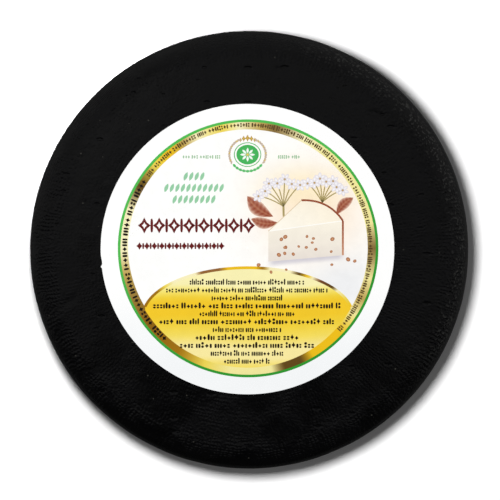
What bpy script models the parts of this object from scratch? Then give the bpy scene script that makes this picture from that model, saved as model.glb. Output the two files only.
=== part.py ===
"""A whole wheel of aged goat cheese in a black wax coat, with a round paper label on its top.

The wheel lies flat on its base, as it left the press. Lengths are in metres and +Z is up.
The origin is on the surface that it lies on, under the middle of the wheel.
"""

import math

import bmesh
import bpy
import numpy as np

# The turned form of the wheel
WHEEL_RADIUS = 0.0800
WHEEL_HEIGHT = 0.0600
TOP_EDGE_RADIUS = 0.0080
BASE_EDGE_RADIUS = 0.0095
SIDE_BULGE = 0.0013
CROWN_RISE = 0.0006

# How finely the form is cut into faces, and how near two points are one
WHEEL_STEPS = 160
CROWN_RINGS = 7
TOP_EDGE_RINGS = 7
SIDE_RINGS = 7
BASE_EDGE_RINGS = 5
LABEL_STEPS = 96
LABEL_RINGS = 5
SAME_POINT = 0.000005
SMOOTH_ANGLE = math.radians(50)

# Unevenness that pressing and ageing left: waves around the wheel as (count, size, phase),
# and waves across its top as (wavelength, phase)
ROUNDNESS = ((2, 0.00006, 0.6), (3, 0.00005, 2.1), (5, 0.00003, 4.0))
SETTLING = 0.0003
SETTLING_WAVE_X = (0.118, 0.8)
SETTLING_WAVE_Y = (0.149, -0.5)
LEAN = 0.0004
LEAN_DIRECTION = math.radians(70)

# Creases of the pressing cloth, which gathered at both edges of the wheel
TOP_CREASES = 11
BASE_CREASES = 9
CREASE_SEED = 17
CREASE_WIDTH = (0.0016, 0.0026)
CREASE_DEPTH = (0.00006, 0.00016)
CREASE_SLANT = 0.35
CREASE_SHIFT = 0.38
CREASE_FULL = 0.3
CREASE_RUN_IN = (0.004, 0.011)
CREASE_RUN_DOWN = (0.012, 0.022)

# The paper label
LABEL_WIDTH = 0.1066
LABEL_DEPTH = 0.1054
LABEL_CENTRE = (-0.00083, 0.00036)
LABEL_THICKNESS = 0.0002
LABEL_GAP = 0.0003

# Finish: colour as red, green and blue, then roughness
COAT_FINISH = ((0.0075, 0.0072, 0.0075), 0.45)
PAPER_FINISH = ((0.93, 0.93, 0.92), 0.40)

# Heights and radii that follow from the sizes above
FLAT_RADIUS = WHEEL_RADIUS - SIDE_BULGE - TOP_EDGE_RADIUS
BASE_RADIUS = WHEEL_RADIUS - SIDE_BULGE - BASE_EDGE_RADIUS
SHOULDER_HEIGHT = WHEEL_HEIGHT - CROWN_RISE
SIDE_TOP = SHOULDER_HEIGHT - TOP_EDGE_RADIUS
SIDE_BOTTOM = BASE_EDGE_RADIUS


def clear_scene():
    """Remove whatever the file holds, so that only the wheel is in it."""
    for item in list(bpy.data.objects):
        bpy.data.objects.remove(item, do_unlink=True)


def new_collection(name):
    """A collection of this name, linked to the scene."""
    collection = bpy.data.collections.new(name)
    bpy.context.scene.collection.children.link(collection)
    return collection


def plain_material(name, finish):
    """A Principled material from a colour and a roughness."""
    colour, roughness = finish
    material = bpy.data.materials.new(name)
    material.use_nodes = True
    shader = material.node_tree.nodes["Principled BSDF"]
    shader.inputs["Base Color"].default_value = (*colour, 1.0)
    shader.inputs["Roughness"].default_value = roughness
    shader.inputs["Metallic"].default_value = 0.0
    material.diffuse_color = (*colour, 1.0)
    return material


def smooth_step(value, start, end):
    """Rises from 0 at start to 1 at end without a corner."""
    share = np.clip((value - start) / (end - start), 0.0, 1.0)
    return share * share * (3.0 - 2.0 * share)


def arc(centre, radius, start, end, count):
    """Points of an arc in the profile's plane, angles in degrees, without its first point."""
    angles = [math.radians(start + (end - start) * step / count) for step in range(1, count + 1)]
    return [
        (centre[0] + radius * math.cos(angle), centre[1] + radius * math.sin(angle))
        for angle in angles
    ]


def crown_height(radius):
    """Height of the undisturbed top at a distance from the wheel's axis."""
    return WHEEL_HEIGHT - CROWN_RISE * (radius / FLAT_RADIUS) ** 2


def side_radius(height):
    """Radius of the barrel-shaped side at a height."""
    share = (height - SIDE_BOTTOM) / (SIDE_TOP - SIDE_BOTTOM)
    return WHEEL_RADIUS - SIDE_BULGE * (2.0 * share - 1.0) ** 2


def wheel_profile():
    """Half outline of the wheel, from the middle of the top down to the middle of the base."""
    crown = [FLAT_RADIUS * math.sqrt(ring / CROWN_RINGS) for ring in range(CROWN_RINGS + 1)]
    points = [(radius, crown_height(radius)) for radius in crown]
    points += arc((FLAT_RADIUS, SIDE_TOP), TOP_EDGE_RADIUS, 90, 0, TOP_EDGE_RINGS)
    fall = (SIDE_TOP - SIDE_BOTTOM) / SIDE_RINGS
    heights = [SIDE_TOP - fall * ring for ring in range(1, SIDE_RINGS + 1)]
    points += [(side_radius(height), height) for height in heights]
    points += arc((BASE_RADIUS, SIDE_BOTTOM), BASE_EDGE_RADIUS, 0, -90, BASE_EDGE_RINGS)
    points.append((0.0, 0.0))
    return points


def label_profile():
    """Half outline of the flat label disc, with its underside at zero height."""
    rings = [step / LABEL_RINGS for step in range(LABEL_RINGS + 1)]
    upper = [(share, LABEL_THICKNESS) for share in rings]
    lower = [(share, 0.0) for share in reversed(rings)]
    return upper + lower


def turn(name, profile, steps, collection, material):
    """Turn a half outline round the vertical axis into an object of plain faces."""
    outline = bpy.data.meshes.new(name)
    vertices = [(radius, 0.0, height) for radius, height in profile]
    edges = [(index, index + 1) for index in range(len(profile) - 1)]
    outline.from_pydata(vertices, edges, [])
    item = bpy.data.objects.new(name, outline)
    collection.objects.link(item)
    screw = item.modifiers.new("turned", "SCREW")
    screw.axis = "Z"
    screw.angle = 2.0 * math.pi
    screw.steps = steps
    screw.render_steps = steps
    screw.use_merge_vertices = True
    screw.merge_threshold = SAME_POINT
    evaluated = item.evaluated_get(bpy.context.evaluated_depsgraph_get())
    turned = bpy.data.meshes.new_from_object(evaluated)
    item.modifiers.clear()
    item.data = turned
    bpy.data.meshes.remove(outline)
    turned.name = name
    weld_and_triangulate(turned)
    turned.materials.append(material)
    return item


def weld_and_triangulate(mesh):
    """Close the seam and the poles of a turned mesh, and cut its faces into triangles."""
    work = bmesh.new()
    work.from_mesh(mesh)
    bmesh.ops.remove_doubles(work, verts=work.verts, dist=SAME_POINT)
    bmesh.ops.triangulate(work, faces=work.faces)
    work.to_mesh(mesh)
    work.free()


def read_points(mesh):
    """The mesh's points as rows of x, y and z."""
    points = np.empty(len(mesh.vertices) * 3)
    mesh.vertices.foreach_get("co", points)
    return points.reshape(-1, 3)


def write_points(mesh, points):
    """Put the points back into the mesh and shade it smooth, with true edges kept sharp."""
    mesh.vertices.foreach_set("co", points.ravel())
    mesh.shade_smooth()
    mesh.set_sharp_from_angle(angle=SMOOTH_ANGLE)
    mesh.update()


def top_unevenness(x, y):
    """How far pressing and settling moved the top up or down: a slight lean and slow waves."""
    across = x * math.cos(LEAN_DIRECTION) + y * math.sin(LEAN_DIRECTION)
    lean = LEAN * across / WHEEL_RADIUS
    (length_x, phase_x), (length_y, phase_y) = SETTLING_WAVE_X, SETTLING_WAVE_Y
    wave_x = np.sin(2.0 * math.pi * x / length_x + phase_x)
    wave_y = np.cos(2.0 * math.pi * y / length_y + phase_y)
    return lean + SETTLING * wave_x * wave_y


def creases(count, seed):
    """Angle, slant, width, depth and run of each crease, spread evenly with seeded shifts."""
    draw = np.random.default_rng(seed)
    pitch = 2.0 * math.pi / count
    return [
        {
            "angle": pitch * (index + draw.uniform(-CREASE_SHIFT, CREASE_SHIFT)),
            "slant": draw.uniform(-CREASE_SLANT, CREASE_SLANT),
            "width": draw.uniform(*CREASE_WIDTH),
            "depth": draw.uniform(*CREASE_DEPTH),
            "run_in": draw.uniform(*CREASE_RUN_IN),
            "run_down": draw.uniform(*CREASE_RUN_DOWN),
        }
        for index in range(count)
    ]


def crease_depth(angle, along, crease):
    """Depth of one crease, by the angle round the wheel and the way along from its edge.

    The way along is positive inwards over the flat and negative down or up the side.
    """
    middle = crease["angle"] + crease["slant"] * along / WHEEL_RADIUS
    turn_away = (angle - middle + math.pi) % (2.0 * math.pi) - math.pi
    across = np.exp(-((turn_away * WHEEL_RADIUS / crease["width"]) ** 2))
    fade_in = 1.0 - smooth_step(along, 0.0, crease["run_in"])
    fade_down = smooth_step(along, -crease["run_down"], -CREASE_FULL * crease["run_down"])
    return crease["depth"] * across * fade_in * fade_down


def add_relief(mesh):
    """Make the turned wheel a pressed cheese: uneven round, a settled top, and cloth creases."""
    points = read_points(mesh)
    normals = np.empty(len(mesh.vertices) * 3)
    mesh.vertices.foreach_get("normal", normals)
    normals = normals.reshape(-1, 3)
    x, y, z = points.T
    angle = np.arctan2(y, x)
    radius = np.hypot(x, y)
    top_way = np.where(z > SIDE_TOP, FLAT_RADIUS - radius, z - SIDE_TOP - TOP_EDGE_RADIUS)
    base_way = np.where(z < SIDE_BOTTOM, BASE_RADIUS - radius, SIDE_BOTTOM - z - BASE_EDGE_RADIUS)
    depth = np.zeros(len(points))
    for crease in creases(TOP_CREASES, CREASE_SEED):
        depth += crease_depth(angle, top_way, crease)
    lower = np.zeros(len(points))
    for crease in creases(BASE_CREASES, CREASE_SEED + 1):
        lower += crease_depth(angle, base_way, crease)
    depth += lower * smooth_step(z, 0.0, CREASE_FULL * BASE_EDGE_RADIUS)
    points = points - normals * depth[:, None]
    swell = sum(size * np.cos(count * angle - phase) for count, size, phase in ROUNDNESS)
    points[:, 0] += swell * np.cos(angle) * radius / WHEEL_RADIUS
    points[:, 1] += swell * np.sin(angle) * radius / WHEEL_RADIUS
    points[:, 2] += top_unevenness(x, y) * smooth_step(z, SIDE_BOTTOM, SHOULDER_HEIGHT)
    write_points(mesh, points)


def lay_label(mesh):
    """Stretch the unit disc to the label's size and lay it just over the wheel's top."""
    points = read_points(mesh)
    points[:, 0] = points[:, 0] * 0.5 * LABEL_WIDTH + LABEL_CENTRE[0]
    points[:, 1] = points[:, 1] * 0.5 * LABEL_DEPTH + LABEL_CENTRE[1]
    x, y = points[:, 0], points[:, 1]
    points[:, 2] += crown_height(np.hypot(x, y)) + top_unevenness(x, y) + LABEL_GAP
    write_points(mesh, points)


def build():
    """Make the wheel and its label in one collection."""
    clear_scene()
    collection = new_collection("aged_goat_cheese")
    coat = plain_material("black_wax_coat", COAT_FINISH)
    paper = plain_material("label_paper", PAPER_FINISH)
    wheel = turn("cheese_wheel", wheel_profile(), WHEEL_STEPS, collection, coat)
    add_relief(wheel.data)
    label = turn("label", label_profile(), LABEL_STEPS, collection, paper)
    lay_label(label.data)


build()
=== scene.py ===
"""A whole wheel of aged goat cheese in a black wax coat, with a round printed paper label."""
import math

import bmesh
import bpy
import numpy as np
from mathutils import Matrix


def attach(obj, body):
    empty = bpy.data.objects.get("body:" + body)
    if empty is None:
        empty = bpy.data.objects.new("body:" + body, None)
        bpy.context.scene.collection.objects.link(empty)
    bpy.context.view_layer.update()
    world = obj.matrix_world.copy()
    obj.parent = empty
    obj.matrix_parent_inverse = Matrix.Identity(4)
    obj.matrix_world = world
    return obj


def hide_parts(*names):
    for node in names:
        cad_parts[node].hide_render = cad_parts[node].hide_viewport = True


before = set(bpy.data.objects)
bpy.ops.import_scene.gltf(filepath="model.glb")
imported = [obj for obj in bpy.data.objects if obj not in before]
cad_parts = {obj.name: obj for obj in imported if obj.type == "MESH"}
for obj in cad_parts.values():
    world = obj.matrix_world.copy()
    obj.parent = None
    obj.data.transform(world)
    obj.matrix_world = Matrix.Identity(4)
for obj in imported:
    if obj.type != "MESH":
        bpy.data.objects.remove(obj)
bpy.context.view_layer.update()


# The wheel is goat curd pressed in a cloth and aged until firm, then sealed in a thin coat of black wax.
# The coat is brushed on hot, so it follows the rind: slow unevenness, and creases where the cloth
# gathered at both edges. It is pressed flat where the label is glued down.
WHEEL_RADIUS = 0.0800
WHEEL_HEIGHT = 0.0600
TOP_EDGE_RADIUS = 0.0080
BASE_EDGE_RADIUS = 0.0095
SIDE_BULGE = 0.0013
CROWN_RISE = 0.0006
FLAT_RADIUS = WHEEL_RADIUS - SIDE_BULGE - TOP_EDGE_RADIUS
BASE_RADIUS = WHEEL_RADIUS - SIDE_BULGE - BASE_EDGE_RADIUS
SIDE_TOP = WHEEL_HEIGHT - CROWN_RISE - TOP_EDGE_RADIUS
SIDE_BOTTOM = BASE_EDGE_RADIUS

ROUNDNESS = ((2, 0.00006, 0.6), (3, 0.00005, 2.1), (5, 0.00003, 4.0))
SETTLING = 0.0003
SETTLING_WAVE_X = (0.118, 0.8)
SETTLING_WAVE_Y = (0.149, -0.5)
LEAN = 0.0004
LEAN_DIRECTION = math.radians(70)

TOP_CREASES = 11
BASE_CREASES = 9
CREASE_SEED = 17
CREASE_WIDTH = (0.0016, 0.0026)
CREASE_DEPTH = (0.00006, 0.00016)
CREASE_SLANT = 0.35
CREASE_SHIFT = 0.38
CREASE_FULL = 0.3
CREASE_RUN_IN = (0.004, 0.011)
CREASE_RUN_DOWN = (0.012, 0.022)

# Lumps of each size in the wax, as (length, height, seed)
LUMPS = ((0.016, 0.000022, 3), (0.0065, 0.000010, 5), (0.0032, 0.000006, 8))
LUMP_WAVES = 14
PRESSED_RADIUS = 0.0520
PRESSED_FADE = 0.004

# How finely the coat is cut: points round it, rings down its half outline, and the least angle of an edge
# that is shaded sharp
WHEEL_TURNS = 900
POLE_RADIUS = 0.006
UNDER_LABEL_REACH = 0.051
UNDER_LABEL_RINGS = 8
BARE_START = 0.0515
BARE_RINGS = 38
TOP_EDGE_RINGS = 20
SIDE_RINGS = 27
BASE_EDGE_RINGS = 10
BASE_RINGS = 8
SHARP_ANGLE = math.radians(40)

# Marks in the top near its edge, as (x, y, turn, half length, half width, depth). A mark whose depth is
# below 0 stands proud.
WAX_MARKS = (
    (0.0455, 0.0492, -12, 0.0034, 0.0011, 0.00020),
    (0.0392, 0.0526, -6, 0.0026, 0.0008, 0.00010),
    (0.0546, 0.0528, -25, 0.0018, 0.0009, 0.00015),
    (0.0596, 0.0442, 0, 0.0017, 0.0008, 0.00015),
    (0.0530, 0.0545, -62, 0.0040, 0.0005, -0.00010),
    (0.0585, 0.0425, -65, 0.0036, 0.0005, -0.00010),
    (0.0645, 0.0296, -48, 0.0026, 0.0007, -0.00011),
    (0.0500, 0.0318, 20, 0.0011, 0.0009, -0.00011),
    (0.0520, 0.0292, 60, 0.0010, 0.0009, -0.00010),
    (0.0488, 0.0286, 0, 0.0009, 0.0008, -0.00010),
    (0.0541, 0.0312, 0, 0.0009, 0.0008, -0.00008),
    (0.0513, 0.0345, 10, 0.0009, 0.0008, 0.00011),
    (-0.0505, -0.0500, 70, 0.0034, 0.0009, -0.00011),
    (-0.0560, -0.0430, 20, 0.0030, 0.0022, 0.00011),
    (-0.0640, -0.0180, 35, 0.0024, 0.0012, 0.00007),
    (0.0610, -0.0350, -30, 0.0026, 0.0014, 0.00008),
    (-0.0114, 0.0748, 0, 0.0010, 0.0005, 0.00018),
    (-0.0093, 0.0736, 8, 0.0009, 0.0005, 0.00016),
    (-0.0261, 0.0706, -5, 0.0011, 0.0005, 0.00018),
    (-0.0173, 0.0706, 0, 0.0008, 0.0005, 0.00016),
    (0.0101, 0.0657, 5, 0.0010, 0.0005, 0.00018),
    (-0.0405, 0.0640, 0, 0.0016, 0.0006, 0.00018),
    (-0.0290, 0.0640, 0, 0.0009, 0.0005, 0.00014),
    (0.0020, 0.0590, 10, 0.0008, 0.0005, 0.00014),
)


def smooth_step(value, start, end):
    """Rises from 0 at start to 1 at end, as three times the share squared less twice its cube."""
    share = np.clip((value - start) / (end - start), 0.0, 1.0)
    return share * share * (3.0 - 2.0 * share)


def half_outline():
    """Radius and height down the wheel's half outline, without the two points on its axis.

    The crown is a parabola, both edges are quarter circles, and the side is a parabola between them.
    """
    under_label = np.linspace(POLE_RADIUS, UNDER_LABEL_REACH, UNDER_LABEL_RINGS)
    crown = np.concatenate((under_label, np.linspace(BARE_START, FLAT_RADIUS, BARE_RINGS)))
    over = np.radians(np.linspace(90, 0, TOP_EDGE_RINGS + 1)[1:])
    side = np.linspace(SIDE_TOP, SIDE_BOTTOM, SIDE_RINGS + 1)[1:]
    under = np.radians(np.linspace(0, -90, BASE_EDGE_RINGS + 1)[1:])
    base = np.linspace(BASE_RADIUS, POLE_RADIUS, BASE_RINGS + 1)[1:]
    share = (side - SIDE_BOTTOM) / (SIDE_TOP - SIDE_BOTTOM)
    radius = np.concatenate((
        crown,
        FLAT_RADIUS + TOP_EDGE_RADIUS * np.cos(over),
        WHEEL_RADIUS - SIDE_BULGE * (2.0 * share - 1.0) ** 2,
        BASE_RADIUS + BASE_EDGE_RADIUS * np.cos(under),
        base,
    ))
    height = np.concatenate((
        WHEEL_HEIGHT - CROWN_RISE * (crown / FLAT_RADIUS) ** 2,
        SIDE_TOP + TOP_EDGE_RADIUS * np.sin(over),
        side,
        SIDE_BOTTOM + BASE_EDGE_RADIUS * np.sin(under),
        np.zeros_like(base),
    ))
    return radius, height


def top_unevenness(x, y):
    """A slight lean plus the product of two slow sine waves, across and along the top."""
    lean = LEAN * (x * math.cos(LEAN_DIRECTION) + y * math.sin(LEAN_DIRECTION)) / WHEEL_RADIUS
    (length_x, phase_x), (length_y, phase_y) = SETTLING_WAVE_X, SETTLING_WAVE_Y
    wave_x = np.sin(2.0 * math.pi * x / length_x + phase_x)
    wave_y = np.cos(2.0 * math.pi * y / length_y + phase_y)
    return lean + SETTLING * wave_x * wave_y


def wheel_top(x, y):
    """Height of the wax under the label: the crown's parabola plus the unevenness."""
    return WHEEL_HEIGHT - CROWN_RISE * (x * x + y * y) / FLAT_RADIUS ** 2 + top_unevenness(x, y)


def creases(count, seed, angle, along):
    """Depth of all the creases of one edge: bell curves across, at even steps with seeded shifts.

    along is the way inwards over the flat, or down the side where it is negative, and each crease
    fades both ways.
    """
    draw = np.random.default_rng(seed)
    pitch = 2.0 * math.pi / count
    depth = np.zeros(np.broadcast(angle, along).shape)
    for index in range(count):
        middle = pitch * (index + draw.uniform(-CREASE_SHIFT, CREASE_SHIFT))
        slant = draw.uniform(-CREASE_SLANT, CREASE_SLANT)
        width = draw.uniform(*CREASE_WIDTH)
        deepest = draw.uniform(*CREASE_DEPTH)
        run_in = draw.uniform(*CREASE_RUN_IN)
        run_down = draw.uniform(*CREASE_RUN_DOWN)
        away = angle - middle - slant * along / WHEEL_RADIUS
        away = (away + math.pi) % (2.0 * math.pi) - math.pi
        across = np.exp(-((away * WHEEL_RADIUS / width) ** 2))
        fade = 1.0 - smooth_step(along, 0.0, run_in)
        fade *= smooth_step(along, -run_down, -CREASE_FULL * run_down)
        depth += deepest * across * fade
    return depth


def lumps(x, y, z):
    """Uneven wax: for each size, the mean of sine waves that run in seeded directions."""
    total = np.zeros_like(x)
    for length, size, seed in LUMPS:
        draw = np.random.default_rng(seed)
        way = draw.normal(size=(LUMP_WAVES, 3))
        way *= 2.0 * math.pi / length / np.linalg.norm(way, axis=1, keepdims=True)
        phase = draw.uniform(0.0, 2.0 * math.pi, LUMP_WAVES)
        for (way_x, way_y, way_z), start in zip(way, phase):
            total += size / math.sqrt(LUMP_WAVES / 2) * np.sin(x * way_x + y * way_y + z * way_z + start)
    return total


def turned(x, y, angle):
    """Places turned anticlockwise about the origin by an angle in radians."""
    c, s = np.cos(angle), np.sin(angle)
    return x * c - y * s, x * s + y * c


def marks(x, y):
    """Dents and ridges in the top: a bell curve in each mark's own turned and stretched axes."""
    total = np.zeros_like(x)
    for mark_x, mark_y, turn, half_length, half_width, depth in WAX_MARKS:
        along, across = turned(x - mark_x, y - mark_y, -math.radians(turn))
        total += depth * np.exp(-(along / half_length) ** 4 - (across / half_width) ** 2)
    return total


def wheel_points():
    """The wheel's skin: the turned half outline, moved along its normal by the relief."""
    radius, height = half_outline()
    angle = np.linspace(0.0, 2.0 * math.pi, WHEEL_TURNS, endpoint=False)[None, :]
    radius, height = radius[:, None], height[:, None]
    fall, spread = np.gradient(height[:, 0]), np.gradient(radius[:, 0])
    length = np.hypot(fall, spread)
    out, up = (-fall / length)[:, None], (spread / length)[:, None]
    x, y = radius * np.cos(angle), radius * np.sin(angle)
    z = height + 0.0 * angle
    top_way = np.where(height > SIDE_TOP, FLAT_RADIUS - radius, height - SIDE_TOP - TOP_EDGE_RADIUS)
    base_way = np.where(height < SIDE_BOTTOM, BASE_RADIUS - radius, SIDE_BOTTOM - height - BASE_EDGE_RADIUS)
    clear_of_floor = smooth_step(height, 0.0, CREASE_FULL * BASE_EDGE_RADIUS)
    depth = creases(TOP_CREASES, CREASE_SEED, angle, top_way)
    depth += creases(BASE_CREASES, CREASE_SEED + 1, angle, base_way) * clear_of_floor
    on_top = height > SIDE_TOP
    past_label = smooth_step(np.hypot(x, y), PRESSED_RADIUS, PRESSED_RADIUS + PRESSED_FADE)
    depth += lumps(x, y, z) * np.where(on_top, past_label, 1.0) * clear_of_floor
    depth += np.where(on_top, marks(x, y), 0.0)
    swell = sum(size * np.cos(count * angle - phase) for count, size, phase in ROUNDNESS)
    reach = radius + swell * radius / WHEEL_RADIUS - out * depth
    rise = top_unevenness(x, y) * smooth_step(height, SIDE_BOTTOM, SIDE_TOP + TOP_EDGE_RADIUS)
    return np.stack((reach * np.cos(angle), reach * np.sin(angle), z - up * depth + rise), axis=-1)


def grid_faces(rows, columns, wrap):
    """Four-sided faces of a grid of points, each row joined to the next, and closed round if wrap."""
    row = np.arange(rows - 1)[:, None]
    column = np.arange(columns if wrap else columns - 1)[None, :]
    after = (column + 1) % columns
    corners = (row * columns + column, row * columns + after,
               (row + 1) * columns + after, (row + 1) * columns + column)
    return np.stack(corners, axis=-1).reshape(-1, 4)


def add_object(name, data):
    """An object in the scene that holds a mesh, a light or a camera."""
    holder = bpy.data.objects.new(name, data)
    bpy.context.scene.collection.objects.link(holder)
    return holder


def make_piece(name, points, faces, material, smooth=True):
    """A mesh object at the origin from points and faces, with its faces turned outwards."""
    mesh = bpy.data.meshes.new(name)
    mesh.from_pydata(points.tolist(), [], [list(face) for face in faces])
    work = bmesh.new()
    work.from_mesh(mesh)
    bmesh.ops.recalc_face_normals(work, faces=work.faces)
    work.to_mesh(mesh)
    work.free()
    if smooth:
        mesh.shade_smooth()
        mesh.set_sharp_from_angle(angle=SHARP_ANGLE)
    mesh.materials.append(material)
    return add_object(name, mesh)


def set_inputs(tree, node, inputs):
    """Sets a node's inputs, and links those that are given as another node's output."""
    for key, value in inputs.items():
        if isinstance(value, bpy.types.NodeSocket):
            tree.links.new(value, node.inputs[key])
        else:
            node.inputs[key].default_value = value


def add_node(tree, kind, inputs, **fields):
    """Adds a node, and sets first its fields and then its inputs."""
    node = tree.nodes.new(kind)
    for field, value in fields.items():
        setattr(node, field, value)
    set_inputs(tree, node, inputs)
    return node


def calc(tree, operation, *values):
    """The output of a Math node with these values or sockets."""
    return add_node(tree, "ShaderNodeMath", dict(enumerate(values)), operation=operation).outputs[0]


def vector_calc(tree, operation, *values):
    """What a Vector Math node puts out: a number for a length or a dot product, or else a vector."""
    node = add_node(tree, "ShaderNodeVectorMath", dict(enumerate(values)), operation=operation)
    return node.outputs["Value" if operation in ("LENGTH", "DOT_PRODUCT") else "Vector"]


def far_along(tree, place, direction):
    """How far a place lies in a level direction, in radians: the dot product of the two."""
    return vector_calc(tree, "DOT_PRODUCT", place, (math.cos(direction), math.sin(direction), 0.0))


def remap(tree, value, start, end, low=0.0, high=1.0):
    """A value taken smoothly from the range start to end to the range low to high."""
    inputs = {"Value": value, "From Min": start, "From Max": end, "To Min": low, "To Max": high}
    return add_node(tree, "ShaderNodeMapRange", inputs, interpolation_type="SMOOTHSTEP").outputs["Result"]


def mix(tree, share, first, second, blend_type="MIX"):
    """The first colour mixed with the second, or multiplied by it, by a share."""
    inputs = {0: share, 6: first, 7: second}
    return add_node(tree, "ShaderNodeMix", inputs, data_type="RGBA", blend_type=blend_type).outputs[2]


def noise(tree, place, scale, detail=3.0, roughness=0.5):
    """Fractal noise from 0 to 1 at a place, with this many waves to the metre."""
    inputs = {"Vector": place, "Scale": scale, "Detail": detail, "Roughness": roughness}
    return add_node(tree, "ShaderNodeTexNoise", inputs).outputs["Fac"]


def cells(tree, place, spacing, channel, dimensions="3D"):
    """Seeded points about one spacing apart: how many spacings the nearest is away, and its own draw."""
    inputs = {"Vector": place, "Scale": 1.0 / spacing, "Randomness": 1.0}
    node = add_node(tree, "ShaderNodeTexVoronoi", inputs, voronoi_dimensions=dimensions)
    draws = add_node(tree, "ShaderNodeSeparateColor", {0: node.outputs["Color"]})
    return node.outputs["Distance"], draws.outputs[channel]


def new_group(name, inputs, outputs):
    """A shader node group and its two end nodes. Its sockets are floats, apart from one called Vector."""
    tree = bpy.data.node_groups.new(name, "ShaderNodeTree")
    for in_out, labels in (("INPUT", inputs), ("OUTPUT", outputs)):
        for label in labels:
            kind = "NodeSocketVector" if label == "Vector" else "NodeSocketFloat"
            tree.interface.new_socket(name=label, in_out=in_out, socket_type=kind)
    return tree, tree.nodes.new("NodeGroupInput"), tree.nodes.new("NodeGroupOutput")


def new_material(name):
    """A material, its node tree and its Principled shader."""
    material = bpy.data.materials.new(name)
    material.use_nodes = True
    return material, material.node_tree, material.node_tree.nodes["Principled BSDF"]


def grained(tree, place, scales):
    """The height and the patches that the fine grain has at a place, for these scales."""
    node = add_node(tree, "ShaderNodeGroup", {"Vector": place, **scales}, node_tree=fine_grain)
    return node.outputs["Height"], node.outputs["Patches"]


# The waves of the noise that bends and breaks the cloth's print, and of the grain and its patches
WANDER_SCALE = 160.0
RING_SWING = (0.45, 0.55)
WEAVE_MEAN = 0.27
STRETCHES = (0.43, 0.60, 0.05, 1.0)
GRAIN_DETAIL = (2.5, 0.5)
PATCH_DETAIL = (3.0, 0.55)
PATCH_RANGE = (0.36, 0.64)


def cloth_imprint_group():
    """Print of the pressing cloth, as a height either side of 0.

    Ribs are a sine of the angle round the axis, and rings are a sine of radius less height, so both run
    on from the top over the edge and down the side. A slow noise makes them wander, and a second noise
    breaks them into short stretches.
    """
    inputs = ("Vector", "Ribs", "Ring Pitch", "Wander", "Stretch Scale")
    tree, start, end = new_group("cloth_imprint", inputs, ("Height",))
    place = start.outputs["Vector"]
    x, y, z = add_node(tree, "ShaderNodeSeparateXYZ", {0: place}).outputs
    angle = calc(tree, "ARCTAN2", y, x)
    radius = calc(tree, "SQRT", calc(tree, "MULTIPLY_ADD", x, x, calc(tree, "MULTIPLY", y, y)))
    way = calc(tree, "SUBTRACT", radius, z)
    slow = calc(tree, "SUBTRACT", noise(tree, place, WANDER_SCALE, 2.0), 0.5)
    slow = calc(tree, "MULTIPLY", slow, start.outputs["Wander"])
    rib_phase = calc(tree, "MULTIPLY_ADD", angle, start.outputs["Ribs"], slow)
    ring_turns = calc(tree, "MULTIPLY", way, 2.0 * math.pi)
    ring_turns = calc(tree, "DIVIDE", ring_turns, start.outputs["Ring Pitch"])
    rib = calc(tree, "MULTIPLY_ADD", calc(tree, "SINE", rib_phase), 0.5, 0.5)
    ring = calc(tree, "MULTIPLY_ADD", calc(tree, "SINE", calc(tree, "ADD", ring_turns, slow)), *RING_SWING)
    stretch = remap(tree, noise(tree, place, start.outputs["Stretch Scale"], 2.0), *STRETCHES)
    weave = calc(tree, "SUBTRACT", calc(tree, "MULTIPLY", rib, ring), WEAVE_MEAN)
    set_inputs(tree, end, {"Height": calc(tree, "MULTIPLY", weave, stretch)})
    return tree


def fine_grain_group():
    """Fine grain as a height either side of 0, and a slow patchiness from 0 to 1, both from noise."""
    inputs = ("Vector", "Grain Scale", "Patch Scale")
    tree, start, end = new_group("fine_grain", inputs, ("Height", "Patches"))
    place = start.outputs["Vector"]
    grain = noise(tree, place, start.outputs["Grain Scale"], *GRAIN_DETAIL)
    patches = noise(tree, place, start.outputs["Patch Scale"], *PATCH_DETAIL)
    height = calc(tree, "SUBTRACT", grain, 0.5)
    set_inputs(tree, end, {"Height": height, "Patches": remap(tree, patches, *PATCH_RANGE)})
    return tree


cloth_imprint = cloth_imprint_group()
fine_grain = fine_grain_group()

# The wax: its colours and gleam, then the scales and depths of its grain and of the cloth's print, and
# where they grow. A range is given as remap takes it.
WAX_BLACK = (0.0006, 0.0006, 0.0007, 1.0)
WAX_BLOOM = (0.0018, 0.0018, 0.0021, 1.0)
BLOOM_SHARE = 0.5
WAX_ROUGHNESS = (0.27, 0.34)
EDGE_ROUGHNESS = -0.03
WAX_GLEAM = 0.25
SIDE_GLEAM = 0.50
SIDE_GLEAM_ROUGHNESS = 0.30
WAX_GRAIN = {"Grain Scale": 1000.0, "Patch Scale": 62.0}
WAX_WEAVE = {"Ribs": 335, "Ring Pitch": 0.0014, "Wander": 12.0, "Stretch Scale": 210.0}
SMOOTH_GRAIN = 0.000060
ROUGH_GRAIN = 0.000230
EDGE_GRAIN = 0.000520
SMOOTH_IMPRINT = 0.000012
ROUGH_IMPRINT = 0.000110
EDGE_IMPRINT = 0.000280
SIDE_IMPRINT = 0.000220
ROUGH_SIDE = math.radians(-50)
ROUGH_REACH = (-0.045, 0.045, 0.12, 1.0)
ROUGH_PATCHES = (0.15, 0.85, 0.35, 1.0)
EDGE_REACH = (0.0670, 0.0770)
EDGE_PATCHES = (0.70, 0.50)
SIDE_REACH = (0.0540, 0.0440)

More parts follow.
